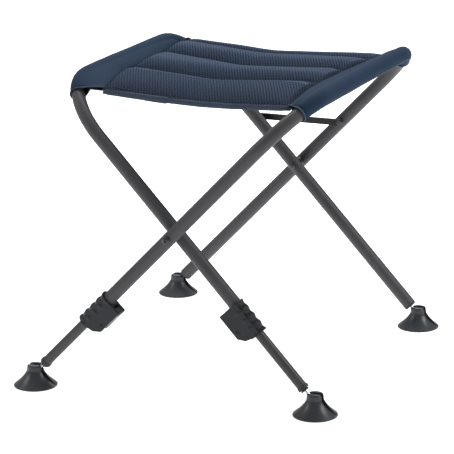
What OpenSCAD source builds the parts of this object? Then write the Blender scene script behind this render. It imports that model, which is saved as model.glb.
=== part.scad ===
// Folding camp stool: two crossed U-shaped tube frames that turn on a pair of pivot bolts,
// a padded seat slung between the two top bars, telescopic front legs with flip-lever clamps,
// a hooked stay that locks the rear legs open, and four swivel feet.
// Millimetres, +Z up. X runs from one seat bar to the other, Y from front (-) to rear (+).
// The origin is on the floor, under the middle of the stool.

/* [Frame] */
// Height of the middle of the two seat bars above the floor
bar_height = 403; // [360:1:450]
// Height of the pivot bolts above the floor
pivot_height = 222; // [190:1:250]
// How far the pivot stands off the middle, towards the right-hand bar
pivot_x = 6; // [0:1:15]
// Distance from the middle of the stool to the middle of a foot, along X
foot_x = 195; // [170:1:220]
// Distance from the middle to the legs of the inner frame, along Y
inner_y = 200; // [170:1:220]
// Distance from the middle to the legs of the outer frame, along Y
outer_y = 227; // [197:1:247]
// Outside diameter of the frame tubes
tube_d = 18; // [16:0.5:20]
// Wall of the frame tubes
tube_wall = 1.5; // [1:0.1:2]
// Radius of the bends at the corners of each frame, to the middle of the tube
bend_r = 84; // [50:1:100]

/* [Telescopic legs] */
// Outside diameter of the sliding lower tubes
lower_d = 13.5; // [12:0.5:14]
// Length of a sliding lower tube
lower_len = 178; // [150:1:190]
// Height of the clamp above the ball of its foot, measured along the leg
clamp_low = 113; // [105:1:125]
// Length of the clamp along the leg
clamp_len = 49.5; // [46:0.5:60]
// Outside diameter of the clamp's barrel
clamp_d = 22.8; // [21:0.2:24]
// How far the clamp's cheeks stand out from the middle of the tube
cheek_out = 24.2; // [22:0.2:28]

/* [Feet] */
// Diameter of the rim of a foot
foot_d = 58.7; // [50:0.1:66]
// Height of a foot
foot_h = 29.5; // [27:0.5:32]
// Height of the ball joint above the floor
ball_z = 17; // [15:0.5:19]
// Diameter of the ball on each stud
ball_d = 11; // [9:0.5:12]
// Diameter of the stem of each stud
stem_d = 5.2; // [4:0.2:6]

/* [Stay] */
// Height of the stay above the floor
stay_z = 286; // [275:1:300]
// Height of the stay's flat bar
stay_h = 9; // [7:0.5:12]
// Thickness of the stay's flat bar
stay_t = 2.5; // [2:0.1:3]

/* [Seat] */
// Thickness of the padding in the middle of a channel
pad_t = 9; // [6:0.5:14]
// How far the middle of the seat hangs below its ends
seat_sag = 7; // [2:0.5:20]
// Outside diameter of the sleeves round the seat bars
sleeve_d = 22.8; // [21:0.2:26]

/* [Hidden] */
$fn = 64;
tube_r = tube_d/2;
bore_r = tube_r - tube_wall;
lower_r = lower_d/2;
run = 0.05;                             // running clearance on a radius
rise = pivot_height - ball_z;           // from the ball up to the pivot
drop = bar_height - ball_z;             // from the ball up to the seat bar
lean_out = atan((foot_x + pivot_x)/rise);   // lean of the outer frame's legs
lean_in = atan((foot_x - pivot_x)/rise);    // lean of the inner frame's legs
len_out = drop/cos(lean_out);           // ball to seat bar along the outer frame's leg
len_in = drop/cos(lean_in);
piv_out = rise/cos(lean_out);           // ball to pivot along the outer frame's leg
piv_in = rise/cos(lean_in);
bar_out_x = -foot_x + drop*tan(lean_out);   // the outer frame carries the right-hand bar
bar_in_x = foot_x - drop*tan(lean_in);      // the inner frame carries the left-hand bar
front_low = clamp_low + 6;              // lower end of the front upper tubes
rear_low = 19.5;                        // lower end of the rear tubes
clamp_top = clamp_low + clamp_len;
pin_s = clamp_top - 31;                 // the lever's pin, along the leg
pin_x = 18.7;                           // and off the middle of the tube
foot_r = foot_d/2;
gap_mid = (inner_y + outer_y)/2;        // middle of the gap between the two frames
stay_out_x = pivot_x + (stay_z - pivot_height)*tan(lean_out);
stay_in_x = pivot_x - (stay_z - pivot_height)*tan(lean_in);
sleeve_r = sleeve_d/2;
panel_left = bar_in_x + 28.3;           // seams between the panel and the sleeves
panel_right = bar_out_x - 33.8;
panel_front = -182;
panel_rear = 176;
seam_y = [-45, 52, 140];                // stitched seams across the padding
half_w = (panel_right - panel_left)/2;
sag_r = (half_w*half_w + seat_sag*seat_sag)/(2*seat_sag);   // radius of the seat's curve

// Placing: on a leg, +Z runs up the leg from the ball, +X to the underside.
module on_outer() { translate([-foot_x, 0, ball_z]) rotate([0, lean_out, 0]) children(); }
module on_inner() { mirror([1, 0, 0]) translate([-foot_x, 0, ball_z]) rotate([0, lean_in, 0]) children(); }

// Bar and legs of a bent U of radius r; ends at front_s and rear_s along the legs.
module bent_u(r, yl, top, front_s, rear_s) {
  translate([0, -yl, front_s]) cylinder(r = r, h = top - bend_r - front_s);
  translate([0, yl, rear_s]) cylinder(r = r, h = top - bend_r - rear_s);
  for (m = [0, 1]) mirror([0, m, 0])
    translate([0, yl - bend_r, top - bend_r]) rotate([90, 0, 90])
      rotate_extrude(angle = 90) translate([bend_r, 0]) circle(r = r);
  translate([0, -(yl - bend_r), top]) rotate([-90, 0, 0]) cylinder(r = r, h = 2*(yl - bend_r));
}

module frame_tube(yl, top, piv) {
  difference() {
    bent_u(tube_r, yl, top, front_low, rear_low);
    bent_u(bore_r, yl, top, front_low - 1, rear_low - 1);
    // holes for the pivot bolts
    for (m = [0, 1]) mirror([0, m, 0]) translate([0, -yl, piv]) rotate([90, 0, 0])
      cylinder(r = 3 + run, h = 3*tube_r, center = true);
  }
}

module outer_frame_tube() {
  color("#46464a") difference() {
    on_outer() frame_tube(outer_y, len_out, piv_out);
    // hole for the stay's rivet
    translate([stay_out_x, outer_y, stay_z]) rotate([90, 0, 0]) cylinder(r = 2.5, h = tube_r + 1);
  }
}

module inner_frame_tube() {
  color("#4c4c50") difference() {
    on_inner() frame_tube(inner_y, len_in, piv_in);
    // hole for the stay's stud
    translate([stay_in_x, inner_y, stay_z]) rotate([-90, 0, 0]) cylinder(r = 2.5, h = tube_r + 1);
  }
}

// Pivot: bolt through both tubes, spacer between them, domed nut inside.
module both_sides() { for (m = [0, 1]) mirror([0, m, 0]) children(); }

module pivot_bolts() {
  color("#5a5c60") both_sides() translate([pivot_x, 0, pivot_height]) {
    translate([0, -outer_y - tube_r, 0]) rotate([-90, 0, 0])
      cylinder(r = 3, h = outer_y + tube_r - (inner_y - tube_r) + 4);
    difference() {
      translate([0, -outer_y - tube_r, 0]) rotate([90, 0, 0]) intersection() {
        cylinder(r = 6, h = 3.2);
        translate([0, 0, -6]) sphere(r = 9.2);
      }
      // hexagon socket
      translate([0, -outer_y - tube_r - 1.4, 0]) rotate([90, 0, 0]) cylinder(r = 2.3, h = 3, $fn = 6);
    }
  }
}

module pivot_spacers() {
  color("#26272a") both_sides() translate([pivot_x, -inner_y - tube_r - 0.3, pivot_height])
    rotate([90, 0, 0]) difference() {
      cylinder(r = 7, h = outer_y - inner_y - 2*tube_r - 0.3);
      translate([0, 0, -1]) cylinder(r = 3, h = 20);
    }
}

module pivot_nuts() {
  color("#55575b") both_sides() translate([pivot_x, -inner_y + tube_r + 0.3, pivot_height])
    rotate([-90, 0, 0]) difference() {
      union() {
        cylinder(r = 5.6, h = 1);
        intersection() {
          cylinder(r = 4.9, h = 5.4);
          sphere(r = 5.8);
        }
      }
      translate([0, 0, -1]) cylinder(r = 3, h = 4.7);
    }
}

// Telescopic front legs
module slide_bush() {
  translate([0, 0, front_low + 0.4]) difference() {
    union() {
      cylinder(r = bore_r, h = 30);
      translate([0, 0, -2.4]) cylinder(r = bore_r, h = 2.5);
    }
    translate([0, 0, -4]) cylinder(r = lower_r + run, h = 40);
  }
}

module slide_bush_left() { color("#202124") on_outer() translate([0, -outer_y, 0]) slide_bush(); }
module slide_bush_right() { color("#202124") on_inner() translate([0, -inner_y, 0]) slide_bush(); }

module clamp_body() {
  waves = 4;
  n = 8*waves;
  difference() {
    union() {
      // barrel with finger grips
      rotate_extrude() polygon(concat([[0, clamp_low]],
        [for (i = [0:n]) [clamp_d/2 + 0.75*cos(360*waves*i/n), clamp_low + clamp_len*i/n]],
        [[0, clamp_top]]));
      // two cheeks that carry the lever
      rotate([90, 0, 0]) linear_extrude(height = clamp_d - 0.6, center = true) polygon([
        [-6, clamp_top - 1.4], [-5, clamp_top - 0.3], [cheek_out - 0.6, clamp_top - 0.3],
        [cheek_out, clamp_top - 1],
        [cheek_out, clamp_top - 37.5], [20.5, clamp_top - 41.5], [16.2, clamp_top - 46],
        [6, clamp_low + 0.4], [-5, clamp_low + 0.4], [-6, clamp_low + 1.5]]);
    }
    // seats of the upper tube and the bush, and the way through for the lower tube
    translate([0, 0, front_low]) cylinder(r = tube_r, h = clamp_len);
    translate([0, 0, clamp_low - 1]) cylinder(r = lower_r + 0.3, h = clamp_len);
    translate([0, 0, front_low - 2]) cylinder(r = bore_r, h = 4);
    // space for the lever between the cheeks
    translate([clamp_d/2 + 0.5, -6.4, clamp_low - 1]) cube([30, 12.8, clamp_len + 2]);
    // split that the lever closes
    translate([tube_r - 2, -0.7, clamp_low + 10]) cube([10, 1.4, clamp_len]);
    // hole for the pin
    translate([pin_x, 0, pin_s]) rotate([90, 0, 0]) cylinder(r = 2, h = 60, center = true);
  }
}

module clamp_body_left() { color("#3a3e43") on_outer() translate([0, -outer_y, 0]) clamp_body(); }
module clamp_body_right() { color("#3a3e43") on_inner() translate([0, -inner_y, 0]) clamp_body(); }

// Flip lever: an eye round the pin and an arm that lies between the cheeks, with a lip for the thumb.
module clamp_lever() {
  difference() {
    translate([pin_x, 0, pin_s]) rotate([90, 0, 0]) {
      cylinder(r = 5.6, h = 12, center = true);
      linear_extrude(height = 12, center = true) polygon([[-4.4, -1], [-5.3, 9], [-5.3, 24],
        [-3.8, 29.6], [4.4, 30.6], [6.1, 29.8], [6.2, 28.4], [5.5, 25], [5.6, 12], [4.6, -1]]);
    }
    translate([pin_x, 0, pin_s]) rotate([90, 0, 0]) cylinder(r = 2 + run, h = 14, center = true);
    // hollow back of the arm
    translate([pin_x - 7, -4, pin_s + 9]) cube([8.5, 8, 17]);
  }
}

module clamp_lever_left() { color("#33363b") on_outer() translate([0, -outer_y, 0]) clamp_lever(); }
module clamp_lever_right() { color("#33363b") on_inner() translate([0, -inner_y, 0]) clamp_lever(); }

module lever_pin() {
  translate([pin_x, 0, pin_s]) rotate([90, 0, 0]) {
    cylinder(r = 2, h = clamp_d, center = true);
    for (m = [0, 1]) mirror([0, 0, m]) translate([0, 0, clamp_d/2]) cylinder(r1 = 2.6, r2 = 1.9, h = 0.6);
  }
}

module lever_pin_left() { color("#1c1d1f") on_outer() translate([0, -outer_y, 0]) lever_pin(); }
module lever_pin_right() { color("#1c1d1f") on_inner() translate([0, -inner_y, 0]) lever_pin(); }

module lower_leg() {
  translate([0, 0, 27]) difference() {
    cylinder(r = lower_r, h = lower_len);
    translate([0, 0, -1]) cylinder(r = lower_r - 1.2, h = lower_len + 2);
  }
}

module lower_leg_left() { color("#4a4a4e") on_outer() translate([0, -outer_y, 0]) lower_leg(); }
module lower_leg_right() { color("#4a4a4e") on_inner() translate([0, -inner_y, 0]) lower_leg(); }

// Plug in the end of a lower tube: flange, neck, collar and the spigot inside the tube.
module leg_plug() {
  rotate_extrude() polygon([[stem_d/2, 19.4], [5.4, 19.4], [6, 20], [6, 20.8], [5, 21.4], [5, 22],
    [7.2, 22], [7.7, 22.6], [7.7, 26.4], [7.2, 27], [lower_r - 1.2, 27], [lower_r - 1.2, 44],
    [stem_d/2, 44]]);
}

module leg_plug_left() { color("#303338") on_outer() translate([0, -outer_y, 0]) leg_plug(); }
module leg_plug_right() { color("#303338") on_inner() translate([0, -inner_y, 0]) leg_plug(); }

// Rounded plug in the end of a rear tube
module end_plug() {
  rotate_extrude() polygon(concat([[stem_d/2, 16]],
    [for (a = [0:15:90]) [tube_r - 3 + 3*sin(a), 19 - 3*cos(a)]],
    [[tube_r, rear_low], [bore_r, rear_low], [bore_r, 38], [stem_d/2, 38]]));
}

module end_plug_rear_left() { color("#3c3d40") on_outer() translate([0, outer_y, 0]) end_plug(); }
module end_plug_rear_right() { color("#3c3d40") on_inner() translate([0, inner_y, 0]) end_plug(); }

module ball_stud(grip) {
  sphere(d = ball_d);
  cylinder(d = stem_d, h = grip);
}

module ball_stud_front_left() { color("#c8cacc") on_outer() translate([0, -outer_y, 0]) ball_stud(40); }
module ball_stud_front_right() { color("#c8cacc") on_inner() translate([0, -inner_y, 0]) ball_stud(40); }
module ball_stud_rear_left() { color("#c8cacc") on_outer() translate([0, outer_y, 0]) ball_stud(34); }
module ball_stud_rear_right() { color("#c8cacc") on_inner() translate([0, inner_y, 0]) ball_stud(34); }

// Swivel foot: a flared skirt with two lobes that snap round the ball; the stem swings in the slot.
function curve(a, b, c, t) = (1 - t)*(1 - t)*a + 2*t*(1 - t)*b + t*t*c;

module foot() {
  difference() {
    rotate_extrude() polygon(concat([[0, 0], [foot_r - 0.9, 0], [foot_r - 0.2, 0.4], [foot_r, 1.1],
      [foot_r - 0.3, 1.8]],
      [for (i = [0:14]) curve([foot_r - 1.1, 2.5], [14.5, 13.5], [11.4, foot_h - 8], i/14)],
      [for (i = [0:6]) curve([10.8, foot_h - 2.8], [10.5, foot_h], [8.2, foot_h], i/6)], [[0, foot_h]]));
    // socket of the ball
    translate([0, 0, ball_z]) sphere(d = ball_d + 2*run);
    // slot for the stem, with sloping ends that run out through the skirt
    rotate([90, 0, 0]) linear_extrude(height = 8, center = true) polygon([[-34, 0.8], [-27, 2.4],
      [-20, 6.8], [-13, 12], [13, 12], [20, 6.8], [27, 2.4], [34, 0.8], [34, 40], [-34, 40]]);
  }
}

module foot_front_left() { color("#3b4046") translate([-foot_x, -outer_y, 0]) foot(); }
module foot_front_right() { color("#3b4046") translate([foot_x, -inner_y, 0]) foot(); }
module foot_rear_left() { color("#3b4046") translate([-foot_x, outer_y, 0]) foot(); }
module foot_rear_right() { color("#3b4046") translate([foot_x, inner_y, 0]) foot(); }

// Stay: a flat bar that pivots on the outer frame and hooks over a stud on the inner frame.
module stay_bar() {
  span = stay_out_x - stay_in_x;
  color("#1d1e20") translate([stay_out_x, gap_mid + stay_t/2, stay_z]) rotate([90, 0, 0])
    linear_extrude(height = stay_t) difference() {
      union() {
        translate([-span - 4, -stay_h/2]) square([span + 4, stay_h]);
        circle(d = stay_h);
        translate([-span - 4, 0]) circle(d = stay_h);
      }
      circle(r = 2.5 + run);
      // open slot that drops over the stud
      translate([-span, 0]) {
        circle(r = 2.9);
        rotate(-66.5) translate([0, -2.9]) square([12, 5.8]);
      }
    }
}

module stay_rivet() {
  color("#3a3b3e") translate([stay_out_x, 0, stay_z]) {
    translate([0, gap_mid + stay_t/2 + 0.2, 0]) rotate([-90, 0, 0])
      cylinder(r = 4.4, h = outer_y - tube_r - gap_mid - stay_t/2 - 0.2);
    translate([0, gap_mid - stay_t/2 - 0.2, 0]) rotate([-90, 0, 0])
      cylinder(r = 2.5, h = outer_y - gap_mid - 2);
    translate([0, gap_mid - stay_t/2 - 0.2, 0]) rotate([90, 0, 0]) cylinder(r1 = 4.2, r2 = 2.8, h = 1.5);
  }
}

module stay_stud() {
  color("#3a3b3e") translate([stay_in_x, 0, stay_z]) {
    translate([0, inner_y + 2, 0]) rotate([-90, 0, 0]) cylinder(r = 2.5, h = gap_mid - inner_y);
    translate([0, inner_y + tube_r, 0]) rotate([-90, 0, 0])
      cylinder(r = 4, h = gap_mid - stay_t/2 - 0.3 - inner_y - tube_r);
    translate([0, gap_mid + stay_t/2 + 0.3, 0]) rotate([-90, 0, 0]) cylinder(r1 = 3.6, r2 = 2.6, h = 1.4);
  }
}

// Seat: a slung panel in padded channels, on a backing cloth, sewn to a sleeve at each end.
module slung(low, high) {
  // a slice of a large ring whose middle lies seat_sag below the two ends
  translate([(panel_left + panel_right)/2, 0, bar_height - 5 - seat_sag + sag_r]) rotate([-90, 0, 0])
    rotate([0, 0, 90 - asin(half_w/sag_r)]) rotate_extrude(angle = 2*asin(half_w/sag_r), $fn = 360)
      children();
}

// Outline of the padding, cut from front to rear: low at each seam, crowned between them.
function crown(front, rear, thick) = let (n = 10, w = rear - front)
  [for (i = [0:n - 1]) [sag_r - 1.6 - (thick - 1.6)*sqrt(sin(180*i/n)), rear - w*i/n]];

module seat_panel() {
  edges = concat([panel_front], seam_y, [panel_rear]);
  color("#3a4c66") slung() polygon(concat([[sag_r, panel_front], [sag_r, panel_rear]],
    [for (i = [3:-1:0]) each crown(edges[i], edges[i + 1], i == 3 ? pad_t - 3 : pad_t)],
    [[sag_r - 1.6, panel_front]]));
}

module seat_backing() {
  color("#2a3546") slung() translate([sag_r + 0.3, panel_front + 4])
    square([1.2, panel_rear - panel_front - 8]);
}

module binding(y0) {
  color("#6a7890") slung() translate([sag_r - 3.4, y0]) square([5.6, 1.6]);
}

module binding_front() { binding(panel_front - 1.9); }
module binding_rear() { binding(panel_rear + 0.3); }

// Sleeve: a hem round the straight part of the bar, with a flap towards the panel;
// dir is +1 when the panel lies towards +X. It carries on round the start of each bend.
module hem(bar_x, edge_x, dir, straight) {
  reach = abs(edge_x - bar_x) - 0.3;
  translate([bar_x, 0, bar_height]) rotate([90, 0, 0])
    linear_extrude(height = 2*straight, center = true) difference() {
      union() {
        circle(r = sleeve_r);
        polygon([[0, sleeve_r - 1.6], [dir*reach, -2.2], [dir*reach, -6.4], [dir*2, -sleeve_r + 1.8]]);
      }
      circle(r = tube_r + 0.3);
    }
}

module hem_bends(yl, top, turn) {
  both_sides() translate([0, yl - bend_r, top - bend_r]) rotate([90, 0, 90]) rotate([0, 0, 90 - turn])
    rotate_extrude(angle = turn + 0.5) translate([bend_r, 0]) difference() {
      circle(r = sleeve_r - 0.2);
      circle(r = tube_r + 0.4);
    }
}

module sleeve_left() {
  color("#34445c") {
    on_inner() hem_bends(inner_y, len_in, 38);
    hem(bar_in_x, panel_left, 1, inner_y - bend_r);
  }
}

module sleeve_right() {
  color("#34445c") {
    on_outer() hem_bends(outer_y, len_out, 40);
    hem(bar_out_x, panel_right, -1, outer_y - bend_r);
  }
}

// Tape that binds the open mouths of a sleeve
module mouth_tape(yl, top, turn) {
  both_sides() translate([0, yl - bend_r, top - bend_r]) rotate([90, 0, 90]) rotate([0, 0, 90 - turn - 2.4])
    rotate_extrude(angle = 2.2) translate([bend_r, 0]) difference() {
      circle(r = sleeve_r + 0.4);
      circle(r = tube_r + 0.3);
    }
}

module mouth_tape_left() { color("#6a7890") on_inner() mouth_tape(inner_y, len_in, 38); }
module mouth_tape_right() { color("#6a7890") on_outer() mouth_tape(outer_y, len_out, 40); }

outer_frame_tube();
inner_frame_tube();
pivot_bolts();
pivot_spacers();
pivot_nuts();
slide_bush_left();
slide_bush_right();
clamp_body_left();
clamp_body_right();
clamp_lever_left();
clamp_lever_right();
lever_pin_left();
lever_pin_right();
lower_leg_left();
lower_leg_right();
leg_plug_left();
leg_plug_right();
end_plug_rear_left();
end_plug_rear_right();
ball_stud_front_left();
ball_stud_front_right();
ball_stud_rear_left();
ball_stud_rear_right();
foot_front_left();
foot_front_right();
foot_rear_left();
foot_rear_right();
stay_bar();
stay_rivet();
stay_stud();
seat_panel();
seat_backing();
sleeve_left();
sleeve_right();
binding_front();
binding_rear();
mouth_tape_left();
mouth_tape_right();
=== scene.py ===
import math
import bpy
import numpy as np
from mathutils import Matrix, Vector, noise as lumps


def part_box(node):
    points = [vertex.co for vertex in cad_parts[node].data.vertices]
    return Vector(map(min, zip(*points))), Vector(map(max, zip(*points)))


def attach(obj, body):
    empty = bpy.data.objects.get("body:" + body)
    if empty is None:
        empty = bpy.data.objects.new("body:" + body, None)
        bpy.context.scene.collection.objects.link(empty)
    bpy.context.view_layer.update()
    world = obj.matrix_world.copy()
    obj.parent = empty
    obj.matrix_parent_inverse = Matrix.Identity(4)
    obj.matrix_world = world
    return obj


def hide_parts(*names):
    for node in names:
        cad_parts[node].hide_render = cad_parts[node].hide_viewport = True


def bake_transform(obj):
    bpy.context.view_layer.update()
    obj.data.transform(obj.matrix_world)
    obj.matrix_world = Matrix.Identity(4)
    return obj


# Folding camp stool. Metres, +Z up, the front of the stool towards -Y.
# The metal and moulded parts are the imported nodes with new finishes; the seat, its sleeves,
# tapes and stitching are made here.
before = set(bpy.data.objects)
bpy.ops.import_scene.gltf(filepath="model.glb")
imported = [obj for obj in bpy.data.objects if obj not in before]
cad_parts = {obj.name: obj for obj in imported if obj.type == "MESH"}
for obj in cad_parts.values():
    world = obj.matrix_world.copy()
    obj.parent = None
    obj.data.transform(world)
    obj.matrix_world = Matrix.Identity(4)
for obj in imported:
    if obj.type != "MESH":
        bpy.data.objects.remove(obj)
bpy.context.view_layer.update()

# Measures of the frame
foot_low, foot_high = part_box("foot_front_left")
FOOT_X = -(foot_low[0] + foot_high[0]) / 2
OUTER_Y = -(foot_low[1] + foot_high[1]) / 2
foot_low, foot_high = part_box("foot_front_right")
INNER_Y = -(foot_low[1] + foot_high[1]) / 2
BALL_Z = 0.017                       # middle of the ball studs, where each leg's line starts
BAR_Z = 0.403                        # middle of the two seat bars
BEND = 0.084                         # radius of the tubes' bends, to the middle of the tube
PIVOT_X, PIVOT_Z = 0.006, 0.222
LEAN_OUT = math.atan((FOOT_X + PIVOT_X) / (PIVOT_Z - BALL_Z))
LEAN_IN = math.atan((FOOT_X - PIVOT_X) / (PIVOT_Z - BALL_Z))
BAR_RIGHT = -FOOT_X + (BAR_Z - BALL_Z) * math.tan(LEAN_OUT)
BAR_LEFT = FOOT_X - (BAR_Z - BALL_Z) * math.tan(LEAN_IN)


# ---------------------------------------------------------------- workbench
def put_down():
    bpy.ops.object.select_all(action="DESELECT")


def take(obj):
    put_down()
    obj.select_set(True)
    bpy.context.view_layer.objects.active = obj


def fix_modifiers(obj):
    take(obj)
    for m in list(obj.modifiers):
        bpy.ops.object.modifier_apply(modifier=m.name)


def cloth_blank(name, across, along):
    """A flat blank, one unit square from the origin, that is then laid to its shape."""
    put_down()
    bpy.ops.mesh.primitive_grid_add(x_subdivisions=across, y_subdivisions=along, size=1,
                                    location=(0.5, 0.5, 0))
    obj = bpy.context.object
    obj.name = obj.data.name = name
    bpy.ops.object.transform_apply(location=True, rotation=True, scale=True)
    for layer in list(obj.data.uv_layers):
        obj.data.uv_layers.remove(layer)
    return obj


def lay(obj, shape, thread):
    """Moves each point of a blank to shape(u, v, w) and gives it a thread position in metres."""
    me = obj.data
    spots = [tuple(v.co) for v in me.vertices]
    placed = [shape(*s) for s in spots]
    runs = [thread(s, p) for s, p in zip(spots, placed)]
    layer = me.uv_layers.new(name="Thread")
    for loop in me.loops:
        layer.data[loop.index].uv = runs[loop.vertex_index]
    for v, p in zip(me.vertices, placed):
        v.co = p
    me.update()


def tidy_shell(obj, merge=1e-6):
    take(obj)
    bpy.ops.object.mode_set(mode="EDIT")
    bpy.ops.mesh.select_all(action="SELECT")
    bpy.ops.mesh.remove_doubles(threshold=merge)
    bpy.ops.mesh.normals_make_consistent(inside=False)
    bpy.ops.object.mode_set(mode="OBJECT")
    bpy.ops.object.shade_smooth()


def give_wall(obj, wall, offset):
    s = obj.modifiers.new("Cloth wall", "SOLIDIFY")
    s.thickness, s.offset = wall, offset
    fix_modifiers(obj)


def dress(obj, material):
    obj.data.materials.clear()
    obj.data.materials.append(material)


END_CELLS = 2.5                      # cells over which an open strip closes to its end


def round_strip(name, line, half_out, half_along, material, ring, closed=False, swell=None):
    """A rolled tape along a line of points: half sizes across it, out of and along the sheet."""
    pts = [Vector(p) for p in line]
    n = len(pts)
    cells = n if closed else n - 1
    lengths = [0.0]
    for i in range(1, cells + 1):
        lengths.append(lengths[-1] + (pts[i % n] - pts[i - 1]).length)
    frames = []
    for i in range(cells + 1):
        k = i % n
        before = pts[(k - 1) % n] if closed or k else pts[k]
        after = pts[(k + 1) % n] if closed or k < n - 1 else pts[k]
        d = (after - before).normalized()
        up = Vector((0, 1, 0)) if closed else Vector((0, 0, 1))
        a = up.cross(d).normalized()
        frames.append((pts[k], a, d.cross(a).normalized()))
    obj = cloth_blank(name, ring, cells)

    def shape(u, v, w):
        i = round(v * cells)
        p, a, b = frames[i]
        t = 2 * math.pi * u
        end = 1.0 if closed else min(1.0, math.sqrt(max(0.0, min(i, cells - i) / END_CELLS)))
        k = (swell(v) if swell else 1.0) * end
        return p + a * (half_out * math.cos(t) * end) + b * (half_along * math.sin(t) * k)

    lay(obj, shape, lambda s, p: (lengths[round(s[1] * cells)], s[0] * 2 * math.pi * half_out))
    tidy_shell(obj)
    dress(obj, material)
    return obj


# One raised stitch, and the gap to the next
STITCH_LONG, STITCH_GAP, STITCH_WIDE, STITCH_TALL = 0.0026, 0.0009, 0.0007, 0.0006


def stitch_row(name, lines, material):
    """Rows of raised stitches; each line is a list of (point, normal)."""
    put_down()
    bpy.ops.mesh.primitive_uv_sphere_add(segments=6, ring_count=4, radius=1, location=(0, 0, 0))
    one = bpy.context.object
    bpy.ops.object.mode_set(mode="EDIT")
    bpy.ops.mesh.select_all(action="SELECT")
    bpy.ops.transform.resize(value=(STITCH_LONG / 2, STITCH_WIDE / 2, STITCH_TALL / 2))
    bpy.ops.object.mode_set(mode="OBJECT")
    body = np.array([v.co for v in one.data.vertices])
    sides = [tuple(p.vertices) for p in one.data.polygons]
    bpy.data.objects.remove(one)
    verts, faces = [], []
    for line in lines:
        pts = np.array([tuple(p) for p, _ in line])
        nor = np.array([tuple(n) for _, n in line])
        run = np.concatenate([[0], np.cumsum(np.linalg.norm(np.diff(pts, axis=0), axis=1))])
        for s in np.arange(STITCH_LONG, run[-1] - STITCH_LONG, STITCH_LONG + STITCH_GAP):
            p = np.array([np.interp(s, run, pts[:, k]) for k in range(3)])
            q = np.array([np.interp(s + 0.001, run, pts[:, k]) for k in range(3)])
            n = Vector([np.interp(s, run, nor[:, k]) for k in range(3)]).normalized()
            x = Vector(q - p).normalized()
            y = n.cross(x).normalized()
            turn = np.array([x, y, x.cross(y)])
            faces += [tuple(i + len(verts) for i in f) for f in sides]
            verts += [tuple(r) for r in body @ turn + p]
    me = bpy.data.meshes.new(name)
    me.from_pydata(verts, [], faces)
    obj = bpy.data.objects.new(name, me)
    bpy.context.scene.collection.objects.link(obj)
    tidy_shell(obj)
    dress(obj, material)
    return obj


# ---------------------------------------------------------------- finishes
SHEEN_TINT = (0.45, 0.58, 0.8)
CLOTH_SPECULAR = 0.06


def effect(name, inputs, outputs):
    """A node group, and its inner sockets for reading and for writing."""
    g = bpy.data.node_groups.new(name, "ShaderNodeTree")
    for n, kind, value in inputs:
        s = g.interface.new_socket(name=n, in_out="INPUT", socket_type="NodeSocket" + kind)
        s.default_value = value
    for n, kind in outputs:
        g.interface.new_socket(name=n, in_out="OUTPUT", socket_type="NodeSocket" + kind)
    return g, g.nodes.new("NodeGroupInput").outputs, g.nodes.new("NodeGroupOutput").inputs


def calc(t, op, *values, clamp=False):
    n = t.nodes.new("ShaderNodeMath")
    n.operation, n.use_clamp = op, clamp
    for sock, v in zip(n.inputs, values):
        if isinstance(v, (int, float)):
            sock.default_value = v
        else:
            t.links.new(v, sock)
    return n.outputs[0]


def cloud(t, vector, scale, detail=3.0, rough=0.55):
    n = t.nodes.new("ShaderNodeTexNoise")
    n.inputs["Detail"].default_value, n.inputs["Roughness"].default_value = detail, rough
    if isinstance(scale, (int, float)):
        n.inputs["Scale"].default_value = scale
    else:
        t.links.new(scale, n.inputs["Scale"])
    t.links.new(vector, n.inputs["Vector"])
    return n.outputs["Fac"]


def spread(t, value, low, high, a, b):
    n = t.nodes.new("ShaderNodeMapRange")
    for key, v in (("From Min", low), ("From Max", high), ("To Min", a), ("To Max", b)):
        n.inputs[key].default_value = v
    t.links.new(value, n.inputs["Value"])
    return n.outputs["Result"]


def drift_between(t, noise_value, a, b):
    """Noise, which keeps near the middle of its range, stretched to run from a to b."""
    return spread(t, noise_value, 0.3, 0.7, a, b)


def blend_colour(t, factor, a, b, kind="MIX"):
    n = t.nodes.new("ShaderNodeMix")
    n.data_type, n.blend_type = "RGBA", kind
    for key, v in (("Factor", factor), ("A", a), ("B", b)):
        wanted = "VALUE" if key == "Factor" else "RGBA"
        sock = next(s for s in n.inputs if s.name == key and s.type == wanted)
        if isinstance(v, (tuple, list)):
            sock.default_value = (*v[:3], 1.0)
        elif isinstance(v, (int, float)):
            sock.default_value = v
        else:
            t.links.new(v, sock)
    return next(s for s in n.outputs if s.type == "RGBA")


def tinted(t, colour, factor):
    return blend_colour(t, 1.0, colour, factor, "MULTIPLY")


def coated_surface():
    """Moulded or coated surface: colour drift, rubbed spots, fine grain."""
    g, i, o = effect(
        "Coated surface",
        [("Place", "Vector", (0, 0, 0)), ("Base", "Color", (0.1, 0.1, 0.1, 1)),
         ("Rubbed", "Color", (0.2, 0.2, 0.2, 1)), ("Grain Scale", "Float", 900.0),
         ("Rub", "Float", 0.2), ("Rough", "Float", 0.5)],
        [("Color", "Color"), ("Rough", "Float"), ("Height", "Float")])
    grain = cloud(g, i["Place"], i["Grain Scale"], 2.0)
    drift = cloud(g, i["Place"], 24.0, 4.0, 0.6)
    wear_and_painted_shade = spread(g, cloud(g, i["Place"], 85.0, 6.0, 0.7), 0.55, 0.72, 0.0, 1.0)
    spots = calc(g, "MULTIPLY", wear_and_painted_shade, i["Rub"], clamp=True)
    shade = tinted(g, i["Base"], drift_between(g, drift, 0.88, 1.12))
    speck = tinted(g, shade, drift_between(g, grain, 0.9, 1.1))
    g.links.new(blend_colour(g, spots, speck, i["Rubbed"]), o["Color"])
    r = calc(g, "ADD", i["Rough"], drift_between(g, grain, -0.05, 0.05))
    g.links.new(calc(g, "ADD", r, drift_between(g, drift, -0.05, 0.06), clamp=True), o["Rough"])
    g.links.new(calc(g, "ADD", calc(g, "MULTIPLY", grain, 0.7), calc(g, "MULTIPLY", drift, 0.3)), o["Height"])
    return g


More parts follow.
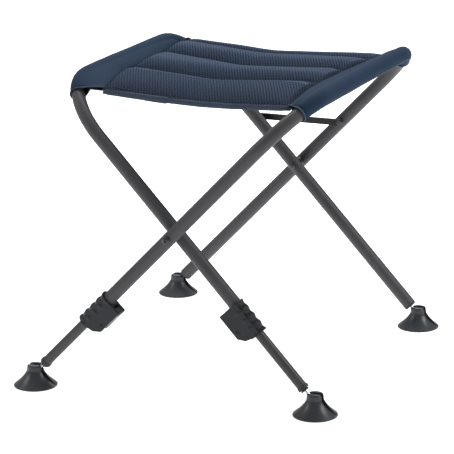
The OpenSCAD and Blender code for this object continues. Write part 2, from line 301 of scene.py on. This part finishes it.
def plain_weave():
    """Over-and-under threads on a surface that is measured in metres."""
    g, i, o = effect(
        "Plain weave",
        [("Thread", "Vector", (0, 0, 0)), ("Pitch", "Float", 0.001), ("Turn", "Float", 0.0)],
        [("Tone", "Float"), ("Height", "Float")])
    sep = g.nodes.new("ShaderNodeSeparateXYZ")
    g.links.new(i["Thread"], sep.inputs[0])
    c, s = calc(g, "COSINE", i["Turn"]), calc(g, "SINE", i["Turn"])
    x, y = sep.outputs[0], sep.outputs[1]
    k = calc(g, "DIVIDE", 2 * math.pi, i["Pitch"])
    warp = calc(g, "SUBTRACT", calc(g, "MULTIPLY", x, c), calc(g, "MULTIPLY", y, s))
    weft = calc(g, "ADD", calc(g, "MULTIPLY", x, s), calc(g, "MULTIPLY", y, c))
    a, b = (calc(g, "SINE", calc(g, "MULTIPLY", run, k)) for run in (warp, weft))
    g.links.new(spread(g, calc(g, "MULTIPLY", a, b), -1.0, 1.0, 0.0, 1.0), o["Tone"])
    g.links.new(calc(g, "MAXIMUM", calc(g, "ABSOLUTE", a), calc(g, "ABSOLUTE", b)), o["Height"])
    return g


def air_mesh():
    """Knitted spacer mesh: rows of small open cells, each row set half a cell over."""
    g, i, o = effect(
        "Air mesh",
        [("Thread", "Vector", (0, 0, 0)), ("Wide", "Float", 0.0027), ("Long", "Float", 0.004),
         ("Open", "Float", 0.1)],
        [("Cell", "Float"), ("Knit", "Float"), ("Height", "Float")])
    sep = g.nodes.new("ShaderNodeSeparateXYZ")
    wobble = g.nodes.new("ShaderNodeTexNoise")
    wobble.inputs["Scale"].default_value = 120.0
    g.links.new(i["Thread"], wobble.inputs["Vector"])
    g.links.new(i["Thread"], sep.inputs[0])
    shake = drift_between(g, wobble.outputs["Fac"], -0.5, 0.5)
    turns = (calc(g, "MULTIPLY", sep.outputs[axis], calc(g, "DIVIDE", 2 * math.pi, i[pitch]))
             for axis, pitch in ((0, "Wide"), (1, "Long")))
    x, y = (calc(g, "ADD", run, shake) for run in turns)
    cell = calc(g, "MULTIPLY", calc(g, "COSINE", x), calc(g, "COSINE", y))
    opened = calc(g, "DIVIDE", calc(g, "SUBTRACT", cell, i["Open"]), 0.35, clamp=True)
    g.links.new(opened, o["Cell"])
    fine = calc(g, "MULTIPLY", calc(g, "SINE", calc(g, "MULTIPLY", x, 3.0)),
                calc(g, "SINE", calc(g, "MULTIPLY", y, 5.0)))
    g.links.new(spread(g, fine, -1.0, 1.0, 0.0, 1.0), o["Knit"])
    g.links.new(calc(g, "SUBTRACT", calc(g, "MULTIPLY", fine, 0.15), opened), o["Height"])
    return g


SURFACE, WEAVE, CELLS = coated_surface(), plain_weave(), air_mesh()


def start_finish(name, specular, sheen=0.0, tint=(1, 1, 1), metal=0.0):
    m = bpy.data.materials.new(name)
    m.use_nodes = True
    b = m.node_tree.nodes["Principled BSDF"]
    b.inputs["Specular IOR Level"].default_value = specular
    b.inputs["Sheen Weight"].default_value = sheen
    b.inputs["Sheen Roughness"].default_value = 0.4
    b.inputs["Sheen Tint"].default_value = (*tint, 1)
    b.inputs["Metallic"].default_value = metal
    return m, m.node_tree, b


def emboss(t, b, height, strength, depth):
    n = t.nodes.new("ShaderNodeBump")
    n.inputs["Strength"].default_value, n.inputs["Distance"].default_value = strength, depth
    t.links.new(height, n.inputs["Height"])
    t.links.new(n.outputs["Normal"], b.inputs["Normal"])


def hard_finish(name, base, rubbed, rough, grain, rub_and_painted_top_light, bump, depth, specular, metal=0.0):
    m, t, b = start_finish(name, specular, metal=metal)
    place = t.nodes.new("ShaderNodeTexCoord")
    s = t.nodes.new("ShaderNodeGroup")
    s.node_tree = SURFACE
    t.links.new(place.outputs["Object"], s.inputs["Place"])
    for key, v in (("Base", (*base, 1)), ("Rubbed", (*rubbed, 1)), ("Grain Scale", grain), ("Rub", rub_and_painted_top_light),
                   ("Rough", rough)):
        s.inputs[key].default_value = v
    t.links.new(s.outputs["Color"], b.inputs["Base Color"])
    t.links.new(s.outputs["Rough"], b.inputs["Roughness"])
    emboss(t, b, s.outputs["Height"], bump, depth)
    return m


def start_cloth(name, sheen, pattern, settings):
    """A cloth's finish, with a pattern group that runs over the thread positions."""
    m, t, b = start_finish(name, CLOTH_SPECULAR, sheen, SHEEN_TINT)
    uv = t.nodes.new("ShaderNodeUVMap")
    uv.uv_map = "Thread"
    w = t.nodes.new("ShaderNodeGroup")
    w.node_tree = pattern
    t.links.new(uv.outputs["UV"], w.inputs["Thread"])
    for key, v in settings.items():
        w.inputs[key].default_value = v
    return m, t, b, w.outputs, t.nodes.new("ShaderNodeTexCoord").outputs["Object"]


def woven_finish(name, dark, light, pitch, turn, bump, depth, sheen):
    m, t, b, weave, place = start_cloth(name, sheen, WEAVE, {"Pitch": pitch, "Turn": turn})
    drift = cloud(t, place, 35.0, 5.0, 0.65)
    fuzz = cloud(t, place, 900.0, 2.0)
    tone = blend_colour(t, weave["Tone"], dark, light)
    tone = tinted(t, tone, drift_between(t, drift, 0.86, 1.12))
    tone = tinted(t, tone, drift_between(t, fuzz, 0.88, 1.12))
    t.links.new(tone, b.inputs["Base Color"])
    t.links.new(drift_between(t, drift, 0.79, 0.91), b.inputs["Roughness"])
    emboss(t, b, weave["Height"], bump, depth)
    return m


def mesh_finish(name, dark, light, hole_and_painted_shade, painted_highlight, wide, long, opened, bump, depth, sheen):
    """Air mesh; the cloth's painted light and shade attribute turns it to a pale painted highlight colour
    where positive, and to the dark hole colour, as painted shade, where negative.
    """
    m, t, b, mesh, place = start_cloth(name, sheen, CELLS, {"Wide": wide, "Long": long, "Open": opened})
    drift = cloud(t, place, 30.0, 5.0, 0.65)
    tone = blend_colour(t, mesh["Knit"], dark, light)
    tone = tinted(t, tone, drift_between(t, drift, 0.86, 1.14))
    tone = blend_colour(t, mesh["Cell"], tone, hole_and_painted_shade)
    # the attribute below carries painted light and shade: a painted highlight where positive, painted shade
    # where negative
    seam = t.nodes.new("ShaderNodeAttribute")
    seam.attribute_name = "Painted crest light and groove shade"
    tone = blend_colour(t, calc(t, "MULTIPLY", seam.outputs["Fac"], 0.6, clamp=True), tone, painted_highlight)
    # painted shade: negative values darken the cloth towards the hole colour
    wear_and_painted_shade = calc(t, "MULTIPLY", seam.outputs["Fac"], -0.75, clamp=True)
    t.links.new(blend_colour(t, wear_and_painted_shade, tone, hole_and_painted_shade), b.inputs["Base Color"])
    t.links.new(drift_between(t, drift, 0.78, 0.92), b.inputs["Roughness"])
    emboss(t, b, mesh["Height"], bump, depth)
    return m


powder_coat = hard_finish("Anthracite powder coat", (0.048, 0.048, 0.052), (0.11, 0.11, 0.115),
                          0.5, 1500.0, 0.10, 0.35, 0.00004, 0.35)
sliding_coat = hard_finish("Sliding tube coat", (0.040, 0.040, 0.043), (0.14, 0.14, 0.145),
                           0.42, 1500.0, 0.25, 0.3, 0.00004, 0.35)
grey_moulding = hard_finish("Grey moulding", (0.024, 0.028, 0.033), (0.065, 0.072, 0.08),
                            0.34, 700.0, 0.12, 0.4, 0.00006, 0.45)
clamp_moulding = hard_finish("Clamp moulding", (0.012, 0.0135, 0.017), (0.04, 0.044, 0.05),
                             0.45, 700.0, 0.12, 0.4, 0.00006, 0.3)
dark_moulding = hard_finish("Dark moulding", (0.022, 0.025, 0.028), (0.05, 0.055, 0.06),
                            0.45, 700.0, 0.12, 0.4, 0.00006, 0.4)
black_moulding = hard_finish("Black moulding", (0.010, 0.010, 0.011), (0.04, 0.04, 0.04),
                             0.5, 800.0, 0.1, 0.3, 0.00005, 0.3)
bright_steel = hard_finish("Bright stud steel", (0.62, 0.63, 0.65), (0.4, 0.4, 0.42),
                           0.14, 500.0, 0.2, 0.1, 0.00002, 0.5, 1.0)
bolt_steel = hard_finish("Bolt steel", (0.06, 0.06, 0.065), (0.3, 0.3, 0.31),
                         0.35, 600.0, 0.3, 0.2, 0.00003, 0.5, 0.8)
stay_enamel = hard_finish("Stay enamel", (0.010, 0.010, 0.011), (0.05, 0.05, 0.052),
                          0.4, 900.0, 0.2, 0.3, 0.00004, 0.3)
# the fourth colour is the painted highlight colour for the crests; the third, the hole colour, also serves as
# painted shade in the grooves
seat_mesh = mesh_finish("Padding air mesh", (0.014, 0.028, 0.060), (0.044, 0.068, 0.118),
                        (0.0008, 0.0018, 0.0050), (0.10, 0.135, 0.20), 0.0040, 0.0086, 0.02,
                        0.8, 0.0009, 0.04)
sleeve_cloth = woven_finish("Sleeve cloth", (0.010, 0.022, 0.044), (0.018, 0.034, 0.066),
                            0.0012, 0.0, 0.4, 0.00015, 0.04)
lining = woven_finish("Lining cloth", (0.016, 0.023, 0.038), (0.026, 0.036, 0.056),
                      0.0016, 0.0, 0.35, 0.00015, 0.05)
binding_tape = woven_finish("Binding tape", (0.030, 0.042, 0.064), (0.062, 0.080, 0.112),
                            0.0018, math.radians(32), 0.5, 0.0002, 0.15)
seam_thread = woven_finish("Seam thread", (0.016, 0.023, 0.038), (0.034, 0.046, 0.070),
                           0.0008, math.radians(45), 0.5, 0.0001, 0.1)
pale_thread = woven_finish("Pale thread", (0.06, 0.08, 0.115), (0.10, 0.13, 0.17),
                           0.0008, math.radians(45), 0.5, 0.0001, 0.1)

FINISHES = {
    powder_coat: ["outer_frame_tube", "inner_frame_tube"],
    sliding_coat: ["lower_leg_left", "lower_leg_right"],
    bolt_steel: ["pivot_bolts", "pivot_nuts", "stay_rivet", "stay_stud"],
    bright_steel: ["ball_stud_front_left", "ball_stud_front_right", "ball_stud_rear_left",
                   "ball_stud_rear_right"],
    black_moulding: ["pivot_spacers", "slide_bush_left", "slide_bush_right", "lever_pin_left",
                     "lever_pin_right"],
    clamp_moulding: ["clamp_body_left", "clamp_body_right"],
    dark_moulding: ["clamp_lever_left", "clamp_lever_right", "leg_plug_left", "leg_plug_right",
                    "end_plug_rear_left", "end_plug_rear_right"],
    grey_moulding: ["foot_front_left", "foot_front_right", "foot_rear_left", "foot_rear_right"],
    stay_enamel: ["stay_bar"],
}
finish_of = {node_name: finish for finish, node_names in FINISHES.items() for node_name in node_names}
for node_name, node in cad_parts.items():
    dress(node, finish_of.get(node_name, sleeve_cloth))


# ---------------------------------------------------------------- seat, laid out
# Y of the three stitched seams at the left and right ends of the panel
SEAMS = [(-0.0485, -0.0435), (0.059, 0.043), (0.148, 0.130)]
ROWS = [26, 20, 18, 10]              # rows of points between front edge, seams and rear edge
COLUMNS = 62
TOTAL = sum(ROWS)
MARKS = [0, ROWS[0], ROWS[0] + ROWS[1], ROWS[0] + ROWS[1] + ROWS[2], TOTAL]
SAG = 0.0078                         # how far the panel hangs between its side seams
LEFT_X, WIDTH = -0.13, 0.28          # rough left end and width of the panel


def along(value, places, values):
    return float(np.interp(value, places, values))


def left_seam(y):
    return (along(y, [-0.20, -0.15, -0.10, -0.07, -0.03, 0.066, 0.143, 0.19],
                  [-0.104, -0.1150, -0.1265, -0.1325, -0.1325, -0.137, -0.146, -0.149]),
            along(y, [-0.19, -0.12, 0.0, 0.12, 0.19], [0.3970, 0.3995, 0.4000, 0.4000, 0.3975]))


def right_seam(y):
    return (along(y, [-0.20, -0.15, -0.10, -0.056, 0.02, 0.099, 0.15, 0.21],
                  [0.160, 0.1520, 0.1450, 0.1425, 0.1435, 0.148, 0.153, 0.159]),
            along(y, [-0.2, -0.1, 0.0, 0.12, 0.21], [0.3985, 0.3990, 0.3980, 0.3965, 0.397]))


def edge_y(u, rear):
    bow = 4 * u * (1 - u)
    return 0.177 + 0.011 * u - 0.007 * bow if rear else -0.179 - 0.012 * u + 0.009 * bow


def seam_y(u, k):
    a, b = SEAMS[k]
    return a + (b - a) * u + 0.0016 * math.sin(5.2 * u + 2.1 * k) * math.sin(math.pi * u)


def panel_spot(u, y, lift):
    """A place on the slung panel: u from the left seam to the right one."""
    xl, zl = left_seam(y)
    xr, zr = right_seam(y)
    t = abs(2 * u - 1.04)
    sag = SAG * max(0.0, 1 - t ** 1.45)
    drop = (0.003 + 0.004 * u) * max(0.0, (y - 0.14) / 0.06) ** 2
    return Vector((xl + (xr - xl) * u, y, zl + (zr - zl) * u - sag - drop + lift))


def row_y(u, j):
    lines = [edge_y(u, False), seam_y(u, 0), seam_y(u, 1), seam_y(u, 2), edge_y(u, True)]
    k = next(i for i in range(4) if j <= MARKS[i + 1])
    f = (j - MARKS[k]) / ROWS[k]
    return lines[k] + (lines[k + 1] - lines[k]) * f, f


def soft_lump(x, y, seed, size=0.06):
    return lumps.noise(Vector((x / size, y / size, seed)))


# ---------------------------------------------------------------- padded panel
CROWN = 0.0098                       # height of a channel above its seams, before it is blown up
PRESSURE, FRAMES = 4.0, 20           # of the cloth simulation
MOST_MOVE, LOWER_SHARE = 0.0055, 0.3  # most that a point moves in it, and the underside's part of it
GATHER_DEEP, GATHER_REACH = 0.00035, 0.009


def paint_crest_light_and_groove_shade(pad, rows):
    """Painted light and shade fixed to the cloth: a painted highlight along each crest and over the tops of
    the rear channels, painted shade in each groove, on the slope behind it and at the ends by the side seams.
    """
    shade = pad.data.attributes.new("Painted crest light and groove shade", "FLOAT", "POINT")
    for i, (u, j, upper) in enumerate(rows):
        f = row_y(u, j)[1]
        if upper and 0.02 < u < 0.98:
            # painted highlight along each crest; a broad painted highlight over the tops of the rear
            # channels; painted shade on the slope behind each seam, darkest on the seam rows
            painted_crest_highlight = 0.95 * math.exp(-((f - 0.80) / 0.035) ** 2) if j < MARKS[3] else 0.0
            rub_and_painted_top_light = 0.4 * max(0.0, math.sin(math.pi * (f - 0.2) / 0.8)) if j > MARKS[1] and f > 0.2 else 0.0
            painted_groove_shade = -0.60 * max(0.0, 1 - f / 0.45)
            shade.data[i].value = -1.0 if j in MARKS[1:4] else max(painted_crest_highlight, rub_and_painted_top_light) + painted_groove_shade
        # painted shade at the ends of the upper rows, by the side seams
        elif upper:
            shade.data[i].value = -0.8


def blow_up(pad, held):
    """Cloth simulation with pressure; the stitched points stay, and no point moves too far."""
    rest = np.array([v.co for v in pad.data.vertices])
    upper = np.array([p.normal.z for p in pad.data.vertices]) > 0
    group = pad.vertex_groups.new(name="Stitched")
    group.add([i for i, h in enumerate(held) if h], 1.0, "REPLACE")
    cloth = pad.modifiers.new("Cloth", "CLOTH")
    c = cloth.settings
    c.quality, c.mass = 6, 0.12
    c.tension_stiffness = c.compression_stiffness = 10
    c.shear_stiffness, c.bending_stiffness = 3, 0.3
    c.vertex_group_mass = "Stitched"
    c.use_pressure, c.uniform_pressure_force = True, PRESSURE
    c.effector_weights.gravity = 0.0
    cloth.collision_settings.use_self_collision = False
    cloth.point_cache.frame_start, cloth.point_cache.frame_end = 1, FRAMES
    for f in range(1, FRAMES + 1):
        bpy.context.scene.frame_set(f)
    depsgraph = bpy.context.evaluated_depsgraph_get()
    blown = np.array([v.co for v in pad.evaluated_get(depsgraph).data.vertices])
    pad.modifiers.remove(cloth)
    bpy.context.scene.frame_set(1)
    move = blown - rest
    far = np.maximum(np.linalg.norm(move, axis=1, keepdims=True), 1e-9)
    move *= np.minimum(1.0, MOST_MOVE / far)
    move[~upper] *= LOWER_SHARE
    for v, p in zip(pad.data.vertices, rest + move):
        v.co = p


def make_cushion():
    pad = cloth_blank("seat_cushion", COLUMNS, TOTAL)
    take(pad)
    bpy.ops.object.mode_set(mode="EDIT")
    bpy.ops.mesh.select_all(action="SELECT")
    bpy.ops.mesh.extrude_region_move(TRANSFORM_OT_translate={"value": (0, 0, 1)})
    bpy.ops.object.mode_set(mode="OBJECT")
    held, rows = [], []

    def shape(u, v, w):
        j = round(v * TOTAL)
        y, f = row_y(u, j)
        stitched = f in (0.0, 1.0) or u < 1e-6 or u > 1 - 1e-6
        held.append(stitched)
        rows.append((u, j, w > 0.5))
        ends = min(1.0, math.sqrt(max(0.0, min(u, 1 - u) * 16)))
        crown = 0.0 if stitched else math.sin(math.pi * f) ** 0.42 * ends
        low = 0.62 if j > MARKS[3] else 1.0
        give = 0.0007 * soft_lump(u * 0.29, y, 3.1) - 0.0012 * math.exp(-((u - 0.46) / 0.09) ** 2)
        if w > 0.5:
            return panel_spot(u, y, 0.0004 + CROWN * crown * low + give)
        return panel_spot(u, y, -0.0014 - 0.0010 * crown + give)

    lay(pad, shape, lambda s, p: (p.x, p.y))
    paint_crest_light_and_groove_shade(pad, rows)
    tidy_shell(pad, 1e-7)
    blow_up(pad, held)
    for v in pad.data.vertices:                      # small gathers beside each seam, and unevenness
        if v.normal.z > 0.2:
            near = min(abs(v.co.y - seam_y((v.co.x - LEFT_X) / WIDTH, k)) for k in range(3))
            ripple = math.sin(v.co.x * 620 + 2 * math.sin(v.co.x * 90))
            v.co.z += GATHER_DEEP * math.exp(-near / GATHER_REACH) * ripple
            v.co.z += 0.0005 * soft_lump(v.co.x, v.co.y, 7.7, 0.05)
    round_off = pad.modifiers.new("Round", "SUBSURF")
    round_off.levels = round_off.render_levels = 1
    fix_modifiers(pad)
    bpy.ops.object.shade_smooth()
    dress(pad, seat_mesh)
    return pad


cushion = make_cushion()


# ---------------------------------------------------------------- sleeves round the two bars
SLEEVE_RADIUS, SLEEVE_WALL = 0.0109, 0.0011
SLEEVE_ROUND, SLEEVE_ALONG = 56, 76  # cells of a sleeve's cloth
SLEEVE_GIRTH = 0.12
FLAP = 0.25                          # part of the cloth at either side that lies towards the seam
LAP = 0.0014                         # how far the flaps reach past the seam


def bar_spot(yl, bar_x, side, lean, y):
    """Middle of a seat bar at y, and its direction; side is the way its legs lean, +1 or -1."""
    flat = yl - BEND
    if abs(y) <= flat:
        return Vector((bar_x, y, BAR_Z)), Vector((0, 1, 0))
    s = 1 if y > 0 else -1
    t = math.asin(min(1.0, (abs(y) - flat) / BEND))
    d = BEND * (1 - math.cos(t))
    return (Vector((bar_x + side * d * math.sin(lean), y, BAR_Z - d * math.cos(lean))),
            Vector((side * s * math.sin(t) * math.sin(lean), math.cos(t), -s * math.sin(t) * math.cos(lean))))


def sleeve_frame(yl, bar_x, side, lean, seam, y, y0, y1):
    c, d = bar_spot(yl, bar_x, side, lean, y)
    x, z = seam(min(max(y, y0 + 0.004), y1 - 0.004))
    edge = Vector((x, y, z))
    to = edge - c
    to -= d * to.dot(d)
    a = to.normalized()
    b = d.cross(a)
    if b.z < 0:
        b = -b
    near_end = min(y - y0, y1 - y)
    r = SLEEVE_RADIUS - 0.0003 * math.exp(-near_end / 0.006) + 0.00025 * soft_lump(bar_x, y, 1.7, 0.03)
    if side > 0:                                     # the left sleeve is looser towards the rear
        r += 0.0022 * along(y, [-0.15, -0.08, 0.06, 0.13, 0.165], [0, 0.7, 0.9, 1, 0.3])
    return c, d, edge, a, b, r, to.length


def sleeve_spot(side_frame, u, y, seed):
    """u goes once round the cloth: over the top from the seam, round the bar and back below."""
    c, d, edge, a, b, r, far = side_frame
    turn = math.acos(min(1.0, r / far)) * 0.98
    top = c + a * (r * math.cos(turn)) + b * (r * math.sin(turn))
    lap = a * LAP
    hem = (edge + lap).lerp(top, 0.55) - b * 0.0024
    x, z = (hem - c).dot(a), (hem - c).dot(b)
    back = math.acos(min(1.0, r / math.hypot(x, z))) - math.atan2(z, x)
    low = c + a * (r * math.cos(back)) - b * (r * math.sin(back))
    wave = 0.0004 * soft_lump(u * 3, y, seed, 0.05)
    if u < FLAP:
        f = u / FLAP
        p = (edge + lap + Vector((0, 0, 0.0016))).lerp(top, f)
        bulge = 0.0016 * math.sin(math.pi * min(1.0, f * 1.15)) * (1 - 0.2 * f)
        return p + b * (bulge + wave * math.sin(math.pi * f))
    if u > 1 - FLAP:
        f = (u - (1 - FLAP)) / (FLAP / 2)
        if f < 1:
            return low.lerp(hem, f) - b * (0.0006 * math.sin(math.pi * f))
        p = hem.lerp(edge + lap * 0.2 + Vector((0, 0, -0.0026)), f - 1)
        return p - b * wave * math.sin(math.pi * (f - 1))
    t = turn + (2 * math.pi - turn - back) * (u - FLAP) / (1 - 2 * FLAP)
    return c + a * (r * math.cos(t)) + b * (r * math.sin(t))


# Half the frame's width, the bar's X, the side and lean of its legs, and the seam beside it
LEFT = (INNER_Y, BAR_LEFT, 1, LEAN_IN, left_seam)
RIGHT = (OUTER_Y, BAR_RIGHT, -1, LEAN_OUT, right_seam)
LEFT_ENDS, RIGHT_ENDS = (-0.1700, 0.1745), (-0.1935, 0.2015)
LEFT_SEED, RIGHT_SEED = 2.3, 5.9


def make_sleeve(name, side, ends, seed):
    blank = cloth_blank(name, SLEEVE_ROUND, SLEEVE_ALONG)
    y0, y1 = ends
    frames = {}

    def shape(u, v, w):
        y = y0 + (y1 - y0) * v
        k = round(v * SLEEVE_ALONG)
        if k not in frames:
            frames[k] = sleeve_frame(*side, y, y0, y1)
        return sleeve_spot(frames[k], u, y, seed)

    lay(blank, shape, lambda s, p: (s[0] * SLEEVE_GIRTH, y0 + (y1 - y0) * s[1]))
    take(blank)
    bpy.ops.object.mode_set(mode="EDIT")
    bpy.ops.mesh.select_all(action="SELECT")
    bpy.ops.mesh.normals_make_consistent(inside=False)
    bpy.ops.object.mode_set(mode="OBJECT")
    topmost = max(blank.data.polygons, key=lambda p: p.center.z)
    if topmost.normal.z < 0:
        blank.data.flip_normals()
    give_wall(blank, SLEEVE_WALL, -1.0)
    bpy.ops.object.shade_smooth()
    dress(blank, sleeve_cloth)
    return blank


left_sleeve = make_sleeve("left_seat_sleeve", LEFT, LEFT_ENDS, LEFT_SEED)
right_sleeve = make_sleeve("right_seat_sleeve", RIGHT, RIGHT_ENDS, RIGHT_SEED)


def mouth_line(side, ends, front):
    y0, y1 = ends
    y = y0 if front else y1
    f = sleeve_frame(*side, y, y0, y1)
    d = f[1]
    ring = [sleeve_spot(f, k / SLEEVE_ROUND, y, 0) for k in range(SLEEVE_ROUND + 1)]
    ring = [p + (d if front else -d) * 0.0008 for p in ring]
    out = [ring[0]]
    for p in ring[1:]:
        if (p - out[-1]).length > 0.0012:
            out.append(p)
    return out


def mouth_tapes(label, side, ends):
    return [round_strip(label + end + "_mouth_tape", mouth_line(side, ends, end == "front"),
                        0.0009, 0.0018, binding_tape, ring=10, closed=True) for end in ("front", "rear")]


left_mouths = mouth_tapes("left_", LEFT, LEFT_ENDS)
right_mouths = mouth_tapes("right_", RIGHT, RIGHT_ENDS)


# ---------------------------------------------------------------- lining and edge tapes
LINING_WALL = 0.0009
EDGE_STEPS = 80


def make_lining():
    blank = cloth_blank("seat_lining", 40, 30)

    def shape(u, v, w):
        a, b = edge_y(u, False) + 0.0015, edge_y(u, True) - 0.0015
        y = a + (b - a) * v
        hang = 0.0030 * math.sin(math.pi * v) * math.sin(math.pi * u)
        return panel_spot(u, y, -0.0038 - hang + 0.0004 * soft_lump(u * WIDTH, y, 9.4))

    lay(blank, shape, lambda s, p: (p.x, p.y))
    give_wall(blank, LINING_WALL, -1.0 if blank.data.polygons[0].normal.z > 0 else 1.0)
    bpy.ops.object.shade_smooth()
    dress(blank, lining)
    return blank


seat_lining = make_lining()


def edge_line(rear, lift):
    points = []
    for k in range(EDGE_STEPS + 1):
        u = k / EDGE_STEPS
        y = edge_y(u, rear)
        points.append(panel_spot(u, y, lift + 0.0004 * soft_lump(u * WIDTH, y, 4.4, 0.03)))
    return points


def front_swell(v):
    """The tape overlaps a third of the way along, and stands a little deeper up to the overlap."""
    return 1.0 + 0.22 * min(1.0, max(0.0, (v - 0.08) / 0.24)) if v < 0.34 else 0.98


front_tape = round_strip("front_edge_tape", edge_line(False, -0.0012), 0.0032, 0.0038, binding_tape,
                         ring=14, swell=front_swell)
rear_tape = round_strip("rear_edge_tape", edge_line(True, -0.0010), 0.0030, 0.0034, binding_tape, ring=14)


# ---------------------------------------------------------------- stitching
SEAM_STEPS = 70
SEAM_LIFT, EDGE_LIFT, EDGE_OUT = 0.0012, 0.0024, 0.0009


def panel_stitches():
    places = [k / SEAM_STEPS for k in range(1, SEAM_STEPS)]
    lines = [[(panel_spot(u, seam_y(u, k), SEAM_LIFT), (0, 0, 1)) for u in places] for k in range(3)]
    for rear, out in ((False, -EDGE_OUT), (True, EDGE_OUT)):
        lines.append([(panel_spot(u, edge_y(u, rear) + out, EDGE_LIFT), (0, -0.25, 1)) for u in places])
    return stitch_row("panel_stitching", lines, seam_thread)


ROW_STEPS = 90
ROW_INSET = 0.004                    # how far short of the sleeve's mouths a row stops
ROW_LIFT = 0.0001


def sleeve_line(side, ends, seed, u, u_end):
    """A line on a sleeve's outside, from front to rear, with its normals; u drifts to u_end."""
    y0, y1 = ends
    line = []
    for k in range(ROW_STEPS + 1):
        y = y0 + ROW_INSET + (y1 - y0 - 2 * ROW_INSET) * k / ROW_STEPS
        w = u + (u_end - u) * k / ROW_STEPS
        f = sleeve_frame(*side, y, y0, y1)
        p, q = sleeve_spot(f, w, y, seed), sleeve_spot(f, w + 0.004, y, seed)
        out = f[1].cross(q - p).normalized()
        if out.dot(p - f[0]) < 0:
            out = -out
        line.append((p + out * ROW_LIFT, out))
    return line


def sleeve_stitches(name, side, ends, seed):
    rows = [sleeve_line(side, ends, seed, u, u) for u in (0.014, 0.034, 0.986)]
    return stitch_row(name, rows, seam_thread)


def hem_ridge(name, side, ends, seed):
    """The fold line of a sleeve's hem, a low ridge along its outer side."""
    path = [p for p, _ in sleeve_line(side, ends, seed, 0.60, 0.545)]
    return round_strip(name, path, 0.0009, 0.0006, pale_thread, ring=8)


panel_thread = panel_stitches()
left_thread = sleeve_stitches("left_sleeve_stitching", LEFT, LEFT_ENDS, LEFT_SEED)
right_thread = sleeve_stitches("right_sleeve_stitching", RIGHT, RIGHT_ENDS, RIGHT_SEED)
hem_ridges = [hem_ridge("left_hem_ridge", LEFT, LEFT_ENDS, LEFT_SEED),
              hem_ridge("right_hem_ridge", RIGHT, RIGHT_ENDS, RIGHT_SEED)]

# ---------------------------------------------------------------- what each piece moves with
for piece in (cushion, seat_lining, front_tape, rear_tape, panel_thread):
    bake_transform(piece)
for piece in (left_sleeve, left_thread, hem_ridges[0], *left_mouths):
    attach(piece, "inner_frame")
for piece in (right_sleeve, right_thread, hem_ridges[1], *right_mouths):
    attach(piece, "outer_frame")
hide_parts("seat_panel")
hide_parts("seat_backing")
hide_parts("sleeve_left")
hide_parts("sleeve_right")
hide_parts("binding_front")
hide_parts("binding_rear")
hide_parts("mouth_tape_left")
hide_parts("mouth_tape_right")

# ---------------------------------------------------------------- floor, light and camera
put_down()
bpy.ops.mesh.primitive_plane_add(size=16.0, location=(0, 0, 0))
floor = bpy.context.object
floor.name = "studio_floor"
pale, tree, shader = start_finish("Pale floor", 0.2)
shader.inputs["Base Color"].default_value = (0.93, 0.93, 0.93, 1)
shader.inputs["Roughness"].default_value = 0.9
shader.inputs["Emission Color"].default_value = (1, 1, 1, 1)
shader.inputs["Emission Strength"].default_value = 0.55
dress(floor, pale)

world = bpy.data.worlds.new("Studio")
bpy.context.scene.world = world
world.use_nodes = True
sky = world.node_tree
soft = sky.nodes["Background"]                       # lights the stool
soft.inputs["Color"].default_value = (1, 1, 1, 1)
soft.inputs["Strength"].default_value = 0.42
paper = sky.nodes.new("ShaderNodeBackground")        # what the camera sees
paper.inputs["Color"].default_value = (1, 1, 1, 1)
ray = sky.nodes.new("ShaderNodeLightPath")
choose = sky.nodes.new("ShaderNodeMixShader")
sky.links.new(ray.outputs["Is Camera Ray"], choose.inputs[0])
sky.links.new(soft.outputs[0], choose.inputs[1])
sky.links.new(paper.outputs[0], choose.inputs[2])
sky.links.new(choose.outputs[0], sky.nodes["World Output"].inputs["Surface"])


def soft_box(name, place, aim, size, power):
    lamp = bpy.data.lights.new(name, "AREA")
    lamp.shape, lamp.size, lamp.energy = "SQUARE", size, power
    holder = bpy.data.objects.new(name, lamp)
    bpy.context.scene.collection.objects.link(holder)
    holder.location = place
    holder.rotation_euler = (Vector(aim) - Vector(place)).to_track_quat("-Z", "Y").to_euler()


soft_box("overhead_box", (-0.5, 1.3, 2.3), (0, 0, 0.2), 2.0, 74)
soft_box("left_box", (-1.9, -0.9, 1.6), (0, 0, 0.25), 0.9, 11)
soft_box("right_box", (1.9, 0.3, 1.7), (0, 0, 0.25), 0.9, 22)

CAMERA_PLACE = (1.24979, -2.85850, 1.03343)
AZIMUTH, TILT, ROLL = math.radians(23.84), math.radians(74.692), math.radians(-0.76)
lens = bpy.data.cameras.new("front_right_view")
camera = bpy.data.objects.new("front_right_view", lens)
bpy.context.scene.collection.objects.link(camera)
camera.matrix_world = (Matrix.Translation(CAMERA_PLACE) @ Matrix.Rotation(AZIMUTH, 4, "Z")
                       @ Matrix.Rotation(TILT, 4, "X") @ Matrix.Rotation(ROLL, 4, "Z"))
lens.lens, lens.sensor_width = 187.57, 36.0
lens.clip_end = 50
bpy.context.scene.camera = camera
bpy.context.scene.view_settings.view_transform = "Standard"
